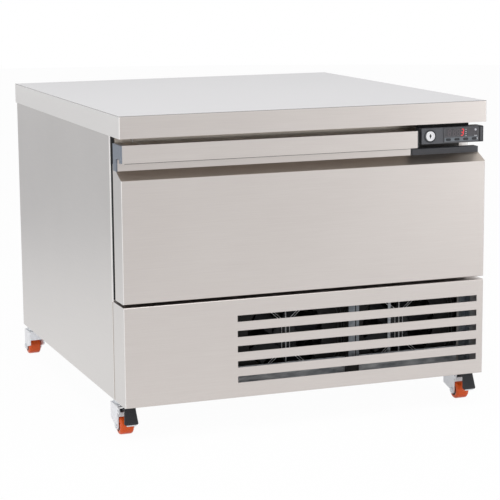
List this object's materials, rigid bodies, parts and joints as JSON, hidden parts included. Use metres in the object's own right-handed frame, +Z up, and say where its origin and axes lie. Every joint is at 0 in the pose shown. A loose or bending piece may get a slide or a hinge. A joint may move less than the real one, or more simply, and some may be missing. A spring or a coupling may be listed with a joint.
{
  "type": "refrigerated drawer counter",
  "caption": "Low stainless counter with one wide chilled drawer, a digital controller and key lock, an air-slotted front panel and swivelling castors with brakes.",
  "frame": {"origin": "centre of the footprint on the floor", "axes": "+X to the right seen from the front, +Y from the drawer front to the back, +Z up"},
  "size_m": [0.72, 0.78, 0.588],
  "materials": {
    "stainless_steel": "fine brushed stainless sheet",
    "galvanised_steel": "dull galvanised sheet",
    "core_board": "raw board",
    "insulation_foam": "rigid foam",
    "dark_plastic": "fine-grained dark grey plastic",
    "grey_plastic": "blue-grey satin plastic",
    "black_plastic": "satin black plastic",
    "bezel_plastic": "smooth black plastic",
    "display_plastic": "smoked clear plastic",
    "chrome": "polished plating",
    "zinc_plating": "bright zinc plating",
    "orange_polyurethane": "semi-gloss cast polyurethane",
    "grey_rubber": "soft gasket rubber",
    "fin_aluminium": "thin mill-finish sheet",
    "black_enamel": "satin black enamel"
  },
  "bodies": {
    "cabinet": {"worktop": "stainless_steel", "worktop_core": "core_board", "left_side_panel": "stainless_steel", "right_side_panel": "stainless_steel", "base_tray": "galvanised_steel", "rear_panel": "galvanised_steel", "rear_grille": "galvanised_steel", "panel_screws": "zinc_plating", "cable_gland": "black_plastic", "cabinet_liner": "stainless_steel", "cabinet_insulation": "insulation_foam", "front_frame": "stainless_steel", "top_rail": "galvanised_steel", "lower_front_panel": "stainless_steel", "fan_plate": "galvanised_steel", "fan_guards": "zinc_plating", "fan_motors": "black_enamel", "condenser": "fin_aluminium", "compressor": "black_enamel", "evaporation_tray": "black_plastic", "evaporator": "fin_aluminium", "outer_runners": "zinc_plating", "control_housing": "dark_plastic", "control_bracket": "galvanised_steel", "controller_body": "bezel_plastic", "display_window": "display_plastic", "lock_body": "chrome", "castor_stems": "zinc_plating"},
    "drawer": {"drawer_skin": "stainless_steel", "drawer_foam": "insulation_foam", "drawer_inner_panel": "stainless_steel", "handle_profile": "stainless_steel", "handle_end_caps": "grey_plastic", "insert_strip": "dark_plastic", "drawer_gasket": "grey_rubber", "drawer_frame": "galvanised_steel", "drawer_tub": "stainless_steel", "inner_runners": "zinc_plating"},
    "middle_runners": {"middle_runners": "zinc_plating"},
    "lock_barrel": {"lock_barrel": "chrome"},
    "left_fan_rotor": {"left_fan_rotor": "black_plastic"},
    "right_fan_rotor": {"right_fan_rotor": "black_plastic"},
    "key_1": {"controller_key_1": "black_plastic"},
    "key_2": {"controller_key_2": "black_plastic"},
    "key_3": {"controller_key_3": "black_plastic"},
    "key_4": {"controller_key_4": "black_plastic"},
    "front_left_fork": {"castor_fork_front_left": "zinc_plating", "castor_axle_front_left": "zinc_plating"},
    "front_left_wheel": {"castor_wheel_front_left": "orange_polyurethane"},
    "front_right_fork": {"castor_fork_front_right": "zinc_plating", "castor_axle_front_right": "zinc_plating"},
    "front_right_wheel": {"castor_wheel_front_right": "orange_polyurethane"},
    "rear_left_fork": {"castor_fork_rear_left": "zinc_plating", "castor_axle_rear_left": "zinc_plating"},
    "rear_left_wheel": {"castor_wheel_rear_left": "orange_polyurethane"},
    "rear_right_fork": {"castor_fork_rear_right": "zinc_plating", "castor_axle_rear_right": "zinc_plating"},
    "rear_right_wheel": {"castor_wheel_rear_right": "orange_polyurethane"},
    "front_left_pedal": {"brake_pedal_front_left": "black_plastic"},
    "front_right_pedal": {"brake_pedal_front_right": "black_plastic"}
  },
  "joints": [
    {"name": "drawer_slide", "type": "slide", "parent": "cabinet", "child": "drawer", "axis": [0, -1, 0], "range_m": [0, 0.52]},
    {"name": "middle_runner_slide", "type": "slide", "parent": "cabinet", "child": "middle_runners", "axis": [0, -1, 0], "range_m": [0, 0.26]},
    {"name": "lock_turn", "type": "hinge", "parent": "cabinet", "child": "lock_barrel", "pos_m": [0.2432, -0.39, 0.5255], "axis": [0, 1, 0], "range_deg": [0, 90]},
    {"name": "left_fan_spin", "type": "hinge", "parent": "cabinet", "child": "left_fan_rotor", "pos_m": [-0.014, -0.28, 0.151], "axis": [0, 1, 0], "continuous": true},
    {"name": "right_fan_spin", "type": "hinge", "parent": "cabinet", "child": "right_fan_rotor", "pos_m": [0.222, -0.28, 0.151], "axis": [0, 1, 0], "continuous": true},
    {"name": "key_1_press", "type": "slide", "parent": "cabinet", "child": "key_1", "axis": [0, 1, 0], "range_m": [0, 0.0008], "stiffness_N_per_m": 1500},
    {"name": "key_2_press", "type": "slide", "parent": "cabinet", "child": "key_2", "axis": [0, 1, 0], "range_m": [0, 0.0008], "stiffness_N_per_m": 1500},
    {"name": "key_3_press", "type": "slide", "parent": "cabinet", "child": "key_3", "axis": [0, 1, 0], "range_m": [0, 0.0008], "stiffness_N_per_m": 1500},
    {"name": "key_4_press", "type": "slide", "parent": "cabinet", "child": "key_4", "axis": [0, 1, 0], "range_m": [0, 0.0008], "stiffness_N_per_m": 1500},
    {"name": "front_left_swivel", "type": "hinge", "parent": "cabinet", "child": "front_left_fork", "pos_m": [-0.3415, -0.312, 0.05], "axis": [0, 0, 1], "continuous": true},
    {"name": "front_left_roll", "type": "hinge", "parent": "front_left_fork", "child": "front_left_wheel", "pos_m": [-0.3415, -0.328, 0.0175], "axis": [1, 0, 0], "continuous": true},
    {"name": "front_left_brake", "type": "hinge", "parent": "front_left_fork", "child": "front_left_pedal", "pos_m": [-0.3415, -0.3405, 0.048], "axis": [1, 0, 0], "range_deg": [0, 10]},
    {"name": "front_right_swivel", "type": "hinge", "parent": "cabinet", "child": "front_right_fork", "pos_m": [0.3415, -0.312, 0.05], "axis": [0, 0, 1], "continuous": true},
    {"name": "front_right_roll", "type": "hinge", "parent": "front_right_fork", "child": "front_right_wheel", "pos_m": [0.3415, -0.328, 0.0175], "axis": [1, 0, 0], "continuous": true},
    {"name": "front_right_brake", "type": "hinge", "parent": "front_right_fork", "child": "front_right_pedal", "pos_m": [0.3415, -0.3405, 0.048], "axis": [1, 0, 0], "range_deg": [0, 10]},
    {"name": "rear_left_swivel", "type": "hinge", "parent": "cabinet", "child": "rear_left_fork", "pos_m": [-0.3415, 0.352, 0.05], "axis": [0, 0, 1], "continuous": true},
    {"name": "rear_left_roll", "type": "hinge", "parent": "rear_left_fork", "child": "rear_left_wheel", "pos_m": [-0.3415, 0.368, 0.0175], "axis": [1, 0, 0], "continuous": true},
    {"name": "rear_right_swivel", "type": "hinge", "parent": "cabinet", "child": "rear_right_fork", "pos_m": [0.3415, 0.352, 0.05], "axis": [0, 0, 1], "continuous": true},
    {"name": "rear_right_roll", "type": "hinge", "parent": "rear_right_fork", "child": "rear_right_wheel", "pos_m": [0.3415, 0.368, 0.0175], "axis": [1, 0, 0], "continuous": true}
  ],
  "couplings": [
    {"joint": "middle_runner_slide", "follows": "drawer_slide", "ratio": 0.5}
  ]
}
